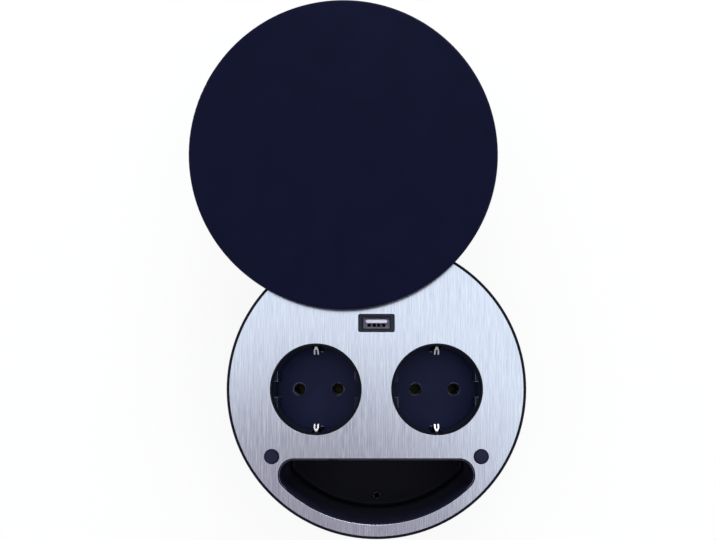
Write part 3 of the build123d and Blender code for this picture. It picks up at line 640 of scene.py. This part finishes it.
for nodeName, (pieceName, edgeWidth) in edgeSet.items():
    roundEdges(nodeName, pieceName, edgeWidth)
print("edges rounded on", len(edgeSet), "pieces")


# the separate solids of a node, each as its lowest and highest corner
def looseBoxes(node):
    shape = mergedCopy(node)
    boxes = []
    for start in shape.verts:
        if start.tag:
            continue
        start.tag = True
        group = [start]
        for vertex in group:
            for edge in vertex.link_edges:
                other = edge.other_vert(vertex)
                if not other.tag:
                    other.tag = True
                    group.append(other)
        low, high = [Vector([pick(v.co[i] for v in group) for i in range(3)])
                     for pick in (min, max)]
        boxes.append((low, high))
    shape.free()
    return boxes


def nextRing(shape, edges, change, lift):
    made = bmesh.ops.extrude_edge_only(shape, edges=edges)["geom"]
    verts = newVerts(made)
    bmesh.ops.scale(shape, verts=verts, vec=(change, change, 1))
    bmesh.ops.translate(shape, verts=verts, vec=(0, 0, lift))
    return [part for part in made if isinstance(part, bmesh.types.BMEdge)
            and all(v in verts for v in part.verts)]


# screws: "head" is the head's height and "shank" the shank's radius, in mm
screwSet = {
    "tray_screw": {"name": "trayScrew", "headUp": True, "head": 1.5, "shank": 1.5},
    "housing_screws": {"name": "housingScrews", "headUp": False, "head": 2.2, "shank": 1.5},
    "insert_screws": {"name": "insertScrews", "headUp": False, "head": 1.6, "shank": 1.2},
    "contact_cover_screws": {"name": "coverScrews", "headUp": False, "head": 1.6, "shank": 1.2},
    "board_screws": {"name": "boardScrews", "headUp": False, "head": 1.6, "shank": 1.2},
    "terminal_screws": {"name": "terminalScrews", "headUp": True, "head": 1.6, "shank": 1.2},
    "lid_screws": {"name": "lidScrews", "headUp": False, "head": 1.2, "shank": 1.2,
                   "countersunk": True},
    "pivot_screw": {"name": "pivotScrew", "headUp": False, "head": 2.2, "shank": 2.0},
}

# their common form, in shares of the head's radius and height
headSet = {
    "crossReach": 0.58,
    "crossWidth": 0.26,
    "crossDepth": 0.55,
    "crossTaper": 0.72,
    "flat": 0.84,         # of a pan head's top
    "pan": ((0.94, 0.12), (1.0, 0.23), (1.0, 0.65)),   # radius, and drop from the ring before
    "tip": 0.3,           # of the shank's radius
    "sides": 24,
    "turns": (20, 37),    # degrees of the first screw, and more for each next one
    "sharpAngle": 35,
}


# one screw, head up, its seat at Z 0 (for a countersunk one, where the cone ends)
def crossScrew(radius, head, shank, length, countersunk, values):
    shape = bmesh.new()
    reach, inner = values["crossReach"] * radius, values["crossWidth"] * radius / 2
    bmesh.ops.create_grid(shape, x_segments=3, y_segments=3, size=reach)
    for vertex in shape.verts:
        for i in (0, 1):
            if abs(vertex.co[i]) < reach / 2:
                vertex.co[i] = math.copysign(inner, vertex.co[i])
    centres = {f: f.calc_center_median() for f in shape.faces}
    cross = [f for f, place in centres.items() if min(abs(place.x), abs(place.y)) < inner / 2]
    sunk = newVerts(bmesh.ops.extrude_face_region(shape, geom=cross)["geom"])
    bmesh.ops.delete(shape, geom=cross, context="FACES")
    bmesh.ops.scale(shape, verts=sunk, vec=(values["crossTaper"], values["crossTaper"], 1))
    bmesh.ops.translate(shape, verts=sunk, vec=(0, 0, -values["crossDepth"] * head))
    rim = [e for e in shape.edges if e.is_boundary]
    bmesh.ops.subdivide_edges(shape, edges=rim, cuts=1)
    rim = [e for e in shape.edges if e.is_boundary]
    top = 1.0 if countersunk else values["flat"]
    ring = bmesh.ops.create_circle(
        shape, cap_ends=False, segments=values["sides"], radius=top * radius)
    ring = list({e for v in ring["verts"] for e in v.link_edges})
    bmesh.ops.bridge_loops(shape, edges=rim + ring)
    bmesh.ops.translate(shape, verts=shape.verts, vec=(0, 0, head))
    if countersunk:
        ring = nextRing(shape, ring, shank / radius, -head)
    else:
        for width, drop in values["pan"]:
            ring = nextRing(shape, ring, width / top, -drop * head)
            top = width
        ring = nextRing(shape, ring, shank / radius, 0)
    ring = nextRing(shape, ring, 1, -(length - shank))
    ring = nextRing(shape, ring, values["tip"], -shank)
    bmesh.ops.contextual_create(shape, geom=ring)
    bmesh.ops.recalc_face_normals(shape, faces=shape.faces)
    return shape


def addScrews(node, look, values):
    boxes = looseBoxes(node)
    low, high = boxes[0]
    radius = (high.x - low.x) / 2
    head = look["head"] * mm
    pattern = meshOf(crossScrew(
        radius, head, look["shank"] * mm, high.z - low.z - head,
        look.get("countersunk", False), values), "screwPattern")
    tip = Matrix.Rotation(0 if look["headUp"] else math.pi, 4, "X")
    firstTurn, nextTurn = values["turns"]
    shape = bmesh.new()
    for number, (low, high) in enumerate(boxes):
        first = len(shape.verts)
        shape.from_mesh(pattern)
        shape.verts.ensure_lookup_table()
        seat = high.z - head if look["headUp"] else low.z + head
        place = Matrix.Translation(((low.x + high.x) / 2, (low.y + high.y) / 2, seat))
        turn = Matrix.Rotation(math.radians(firstTurn + nextTurn * number), 4, "Z")
        bmesh.ops.transform(shape, matrix=place @ tip @ turn, verts=shape.verts[first:])
    bpy.data.meshes.remove(pattern)
    placePiece(shape, look["name"], node, values["sharpAngle"])


for nodeName, screwLook in screwSet.items():
    addScrews(nodeName, screwLook, headSet)
print("screws made")

# clamp screws: the node's slotted head on a threaded shank, in mm
threadSet = {
    "head": 2.2,
    "edge": 0.25,       # rounding of the head
    "core": 1.62,       # radii of the thread
    "major": 2.0,
    "pitch": 0.7,
    "crest": 0.12,      # share of the pitch that is flat at the top
    "steps": 20,        # for each turn
    "sunk": 0.1,        # of the rod in the head
    "sharpAngle": 40,
}


def revolvedRoute(shape, route, **spin):
    verts = [shape.verts.new((r, 0, z)) for r, z in route]
    edges = [shape.edges.new(pair) for pair in zip(verts, verts[1:])]
    bmesh.ops.spin(shape, geom=verts + edges, cent=(0, 0, 0), axis=(0, 0, 1), **spin)
    bmesh.ops.remove_doubles(shape, verts=shape.verts, dist=weldGap)


def capAt(shape, height, normal):
    everything = shape.verts[:] + shape.edges[:] + shape.faces[:]
    bmesh.ops.bisect_plane(
        shape, geom=everything, dist=weldGap / 10, plane_co=(0, 0, height),
        plane_no=(0, 0, normal), clear_outer=True)
    rim = [e for e in shape.edges
           if e.is_boundary and all(abs(v.co.z - height) < weldGap for v in e.verts)]
    bmesh.ops.contextual_create(shape, geom=rim)


def threadedRod(values, low, high):
    shape = bmesh.new()
    pitch, core, major = [values[name] * mm for name in ("pitch", "core", "major")]
    flank = pitch * (1 - values["crest"]) / 2
    profile = [(core, 0), (major, flank), (major, pitch - flank), (core, pitch)]
    turns = math.ceil((high - low) / pitch) + 2
    revolvedRoute(
        shape, [(r, low - pitch + z) for r, z in profile], dvec=(0, 0, pitch / values["steps"]),
        angle=2 * math.pi * turns, steps=values["steps"] * turns, use_merge=False)
    capAt(shape, high, 1)
    capAt(shape, low, -1)
    bmesh.ops.recalc_face_normals(shape, faces=shape.faces)
    return shape


def addClampScrew(node, name, values):
    low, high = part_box(node)
    seat = low.z + values["head"] * mm
    shape = mergedCopy(node)
    capAt(shape, seat, 1)
    roundCorners(shape, values["edge"])
    rod = threadedRod(values, seat - values["sunk"] * mm, high.z)
    bmesh.ops.translate(rod, verts=rod.verts, vec=(middle(node).x, middle(node).y, 0))
    pattern = meshOf(rod, "rodPattern")
    shape.from_mesh(pattern)
    bpy.data.meshes.remove(pattern)
    placePiece(shape, name, node, values["sharpAngle"])


addClampScrew("clamp_screw_left", "clampScrewLeft", threadSet)
addClampScrew("clamp_screw_right", "clampScrewRight", threadSet)
print("clamp screws threaded")

# rest pads: turned rubber buttons with a low dome
padSet = {
    "crown": 0.25,                  # mm, height of the dome
    "shoulder": 0.55,               # mm, radius of the corner
    "shoulderAngles": (60, 30),     # degrees, points of the corner
    "domePoint": (0.5, 0.2),        # share of the dome's radius, and of its height from the top
    "rim": 0.99,                    # share of the dome's radius from which it is dark
    "sides": 48,
    "sharpAngle": 50,
}


def addPad(node, name, values):
    low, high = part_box(node)
    radius = (high.x - low.x) / 2
    crown, bend = values["crown"] * mm, values["shoulder"] * mm
    side, flat = high.z - crown, radius - bend
    corner = [(flat + bend * math.sin(a), side - bend * (1 - math.cos(a)))
              for a in map(math.radians, values["shoulderAngles"])]
    out, down = values["domePoint"]
    route = [(0, low.z), (radius, low.z), (radius, side - bend), *corner,
             (flat, side), (flat * out, high.z - crown * down), (0, high.z)]
    shape = bmesh.new()
    revolvedRoute(shape, route, angle=2 * math.pi, steps=values["sides"], use_merge=True)
    bmesh.ops.recalc_face_normals(shape, faces=shape.faces)
    rimMark = shape.faces.layers.float.new("rim")
    for face in shape.faces:
        if all(vertex.co.xy.length > flat * values["rim"] for vertex in face.verts):
            face[rimMark] = 1.0
    bmesh.ops.translate(shape, verts=shape.verts, vec=(middle(node).x, middle(node).y, 0))
    placePiece(shape, name, node, values["sharpAngle"])


addPad("rest_pad_left", "padLeft", padSet)
addPad("rest_pad_right", "padRight", padSet)
print("pads made")

# USB tongue: a board with round ends, on its foot, in mm
tongueSet = {
    "width": 10.3,
    "thickness": 1.6,
    "offset": 0.95,       # toward the pivot
    "endRound": 0.7,
    "foot": 8.0,          # height of the foot
    "footRound": 0.3,
    "sunk": 0.5,          # of the tongue in the foot
    "edge": 0.12,
    "segments": (6, 2),   # of the round ends and of the edges
    "rimAngle": 60,       # degrees, above which an edge gets "edge"
    "sharpAngle": 50,
}

# USB contacts: sprung strips that bow out of the tongue's lower face, in mm
contactSet = {
    "width": 1.45,
    "thickness": 0.25,
    "bowRadius": 1.35,
    "bowTop": 0.6,        # height above the worktop
    "bowSteps": 10,
    "sharpAngle": 50,
}


def roundedBlock(shape, low, high, upright, values):
    size = high - low
    endSegments, rimSegments = values["segments"]
    place = Matrix.Translation((low + high) / 2) @ Matrix.Diagonal((*size, 1))
    made = bmesh.ops.create_cube(shape, size=1, matrix=place)
    edges = {e for v in made["verts"] for e in v.link_edges}
    posts = [e for e in edges if abs(e.verts[0].co.z - e.verts[1].co.z) > size.z / 2]
    rounded = bmesh.ops.bevel(
        shape, geom=posts, offset=upright * mm, offset_type="OFFSET", affect="EDGES",
        segments=endSegments, profile=0.5, material=-1)
    faces = {f for v in rounded["verts"] for f in v.link_faces}
    rims = {e for f in faces for e in f.edges
            if e.calc_face_angle(0) > math.radians(values["rimAngle"])}
    bmesh.ops.bevel(
        shape, geom=list(rims), offset=values["edge"] * mm, offset_type="OFFSET",
        affect="EDGES", segments=rimSegments, profile=0.5, material=-1)


def addTongue(values):
    low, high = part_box("usb_tongue")
    centre = middle("usb_tongue").xy + Vector((0, values["offset"] * mm))
    half = Vector((values["width"], values["thickness"])) * mm / 2
    footTop = low.z + values["foot"] * mm
    root = footTop - values["sunk"] * mm
    shape = bmesh.new()
    roundedBlock(
        shape, low, Vector((high.x, high.y, footTop)), values["footRound"], values)
    roundedBlock(
        shape, Vector((*(centre - half), root)), Vector((*(centre + half), high.z)),
        values["endRound"], values)
    placePiece(shape, "usbTongue", "usb_tongue", values["sharpAngle"])


def addContacts(values):
    shape = bmesh.new()
    width, bow, bowTop = [values[name] * mm for name in ("width", "bowRadius", "bowTop")]
    for low, high in looseBoxes("usb_contacts"):
        x = (low.x + high.x) / 2 - width / 2
        foot = shape.verts.new((x, high.y, low.z))
        start = shape.verts.new((x, high.y, bowTop - 2 * bow))
        bmesh.ops.spin(
            shape, geom=[start], cent=(x, high.y, bowTop - bow), axis=(1, 0, 0), angle=-math.pi,
            steps=values["bowSteps"], use_merge=False)
        shape.edges.new((foot, start))
        edges = [e for e in shape.edges if not e.link_faces]
        strip = newVerts(bmesh.ops.extrude_edge_only(shape, edges=edges)["geom"])
        bmesh.ops.translate(shape, verts=strip, vec=(width, 0, 0))
    bmesh.ops.recalc_face_normals(shape, faces=shape.faces)
    bmesh.ops.solidify(shape, geom=shape.faces[:], thickness=values["thickness"] * mm)
    bmesh.ops.recalc_face_normals(shape, faces=shape.faces)
    placePiece(shape, "usbContacts", "usb_contacts", values["sharpAngle"])


addTongue(tongueSet)
addContacts(contactSet)
print("USB port fitted")

# floor: white, and clear from below so that the unit shows
floorSet = {
    "size": 6.0,          # m
    "drop": 0.1,          # mm under the unit
    "colour": (0.90, 0.90, 0.90, 1),
    "rough": 0.9,
    "glow": 0.86,         # share of plain white that the camera sees
}

# lamp: soft, from the pivot's side, turned to the middle of the cut-out
lampSet = {
    "place": (0.12, 0.86, 0.38),   # m
    "size": 0.45,                  # m
    "power": 3.6,                  # W
}

# sky: pale, with a dark patch in front; the camera sees plain white
skySet = {
    "colour": (1.04, 1.08, 1.13),
    "patchColour": (0.35, 0.295, 0.335),
    "patchPlace": (-0.094, -0.435, 1.0),   # direction
    "patchWaist": (1.3, 1.0, 1.0),
    "patchSize": (0.34, 0.48),   # to its inner and outer edge, on a sky of radius 1
}


def addFloor(values):
    shape = bmesh.new()
    height = cadBox[0].z - values["drop"] * mm
    bmesh.ops.create_grid(shape, x_segments=1, y_segments=1, size=values["size"] / 2)
    bmesh.ops.translate(shape, verts=shape.verts, vec=(0, 0, height))
    mesh = meshOf(shape, "studioFloor")
    floor = addObject("studioFloor", mesh)
    recipe = Recipe(bpy.data.materials.new("studioFloor"))
    mesh.materials.append(recipe.finish(Base_Color=values["colour"], Roughness=values["rough"]))
    rays = recipe.node("ShaderNodeLightPath").outputs
    camera, glossy, through = [Value(recipe, rays[name]) for name in (
        "Is Camera Ray", "Is Glossy Ray", "Is Transmission Ray")]
    glow = (camera + glossy + through) * values["glow"]
    white = recipe.node("ShaderNodeEmission", None, {"Color": (1, 1, 1, 1), "Strength": 1.0})
    clear = recipe.node("ShaderNodeBsdfTransparent")
    under = recipe.node("ShaderNodeNewGeometry").outputs["Backfacing"]
    top = recipe.node("ShaderNodeMixShader", None, {
        0: glow, 1: recipe.shader.outputs[0], 2: white.outputs[0]})
    both = recipe.node("ShaderNodeMixShader", None, {
        0: under, 1: top.outputs[0], 2: clear.outputs[0]})
    recipe.feed(recipe.tree.nodes["Material Output"].inputs["Surface"], both.outputs[0])


def addLamp(values):
    data = bpy.data.lights.new("keyLamp", "AREA")
    data.energy, data.size = values["power"], values["size"]
    lamp = addObject("keyLamp", data)
    lamp.location = values["place"]
    lamp.rotation_euler = (-Vector(values["place"])).to_track_quat("-Z", "Y").to_euler()


def addSky(values):
    recipe = Recipe(bpy.data.worlds.new("studioSky"))
    patch = Vector(values["patchPlace"]).normalized()
    offset = recipe.vector("SUBTRACT", recipe.coordinates["Generated"], patch)
    offset = recipe.vector("MULTIPLY", offset, values["patchWaist"])
    away = Value(recipe, recipe.vector("LENGTH", offset)).between(*values["patchSize"])
    sky = recipe.mixed(away, values["patchColour"], values["colour"])
    seen = recipe.node("ShaderNodeLightPath").outputs["Is Camera Ray"]
    shown = recipe.mixed(seen, sky, (1.0, 1.0, 1.0))
    recipe.feed(recipe.tree.nodes["Background"].inputs["Color"], shown)
    bpy.context.scene.world = recipe.owner


addFloor(floorSet)
addLamp(lampSet)
addSky(skySet)
print("stage set")
